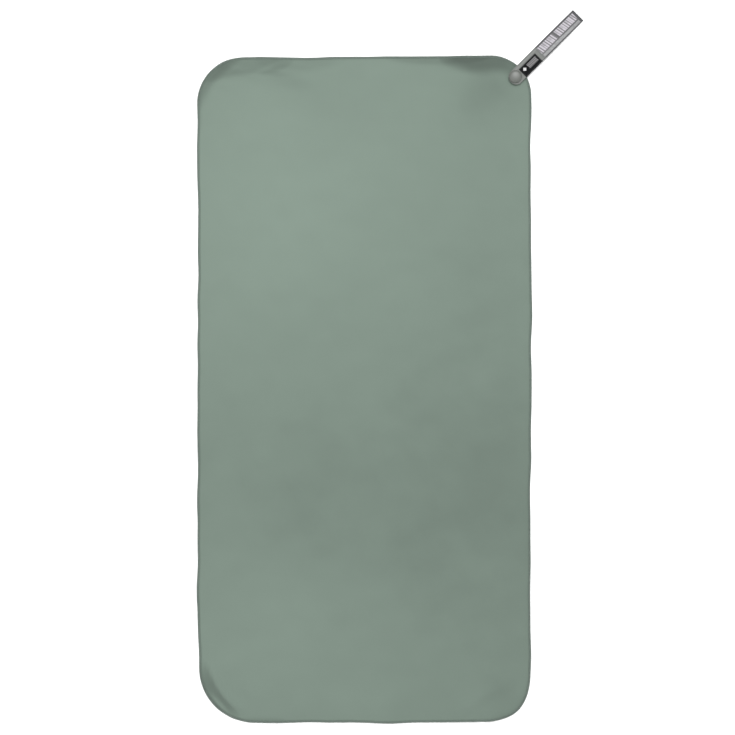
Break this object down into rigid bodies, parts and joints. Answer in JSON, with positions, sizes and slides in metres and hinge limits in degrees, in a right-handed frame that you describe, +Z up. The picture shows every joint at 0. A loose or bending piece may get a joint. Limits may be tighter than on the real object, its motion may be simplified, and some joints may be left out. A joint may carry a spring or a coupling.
{
  "type": "quick dry towel",
  "caption": "Thin rectangular microfibre towel with rounded corners and an overlocked edge, lying flat, with a webbing hang loop at one corner that closes with a ring-spring snap.",
  "frame": {"origin": "Centre of the whole outline, hang loop included, on the surface that the towel lies on.", "axes": "+Y runs along the towel's length towards the end with the hang loop, +X across it towards the loop's corner, and +Z up out of the face that shows."},
  "size_m": [0.4616, 0.8552, 0.0088],
  "materials": {
    "microfibre": "sage green-grey microfibre suede with a short soft nap",
    "edge_thread": "matching textured thread, overlocked over the cut edge",
    "webbing": "grey ribbed webbing with woven pale marks",
    "label_weave": null,
    "sewing_thread": "grey sewing thread",
    "cap_enamel": "grey enamelled cap, satin",
    "snap_metal": "nickel-plated sheet"
  },
  "bodies": {
    "towel_upper": {"upper_cloth": "microfibre", "upper_edge_overlock": "edge_thread", "tape_anchor": "webbing", "tape_bar_tack": "sewing_thread", "snap_post": "snap_metal", "snap_stud": "snap_metal"},
    "towel_lower": {"lower_cloth": "microfibre", "lower_edge_overlock": "edge_thread"},
    "loop_back": {"tape_back_leg": "webbing"},
    "loop_front": {"tape_front_leg": "webbing", "woven_label": "label_weave", "lower_label_stitch": "sewing_thread", "upper_label_stitch": "sewing_thread"},
    "snap_tab": {"tape_snap_tab": "webbing", "snap_socket": "snap_metal", "snap_spring": "snap_metal", "snap_cap": "cap_enamel"}
  },
  "joints": [
    {"name": "half_fold", "type": "hinge", "parent": "towel_upper", "child": "towel_lower", "pos_m": [-0.0308, -0.02755, -0.00015], "axis": [1, 0, 0], "range_deg": [0, 180]},
    {"name": "loop_swing", "type": "hinge", "parent": "towel_upper", "child": "loop_back", "pos_m": [0.15659, 0.35334, 0.0061], "axis": [0.7071, -0.7071, 0], "range_deg": [0, 100]},
    {"name": "loop_open", "type": "hinge", "parent": "loop_back", "child": "loop_front", "pos_m": [0.22444, 0.42119, 0.00065], "axis": [-0.7071, 0.7071, 0], "range_deg": [0, 170]},
    {"name": "tab_flex", "type": "hinge", "parent": "loop_front", "child": "snap_tab", "pos_m": [0.15659, 0.35334, 0.0061], "axis": [0.7071, -0.7071, 0], "range_deg": [-100, 0]}
  ],
  "couplings": [
    {"joint": "tab_flex", "follows": "loop_swing", "ratio": -1}
  ]
}
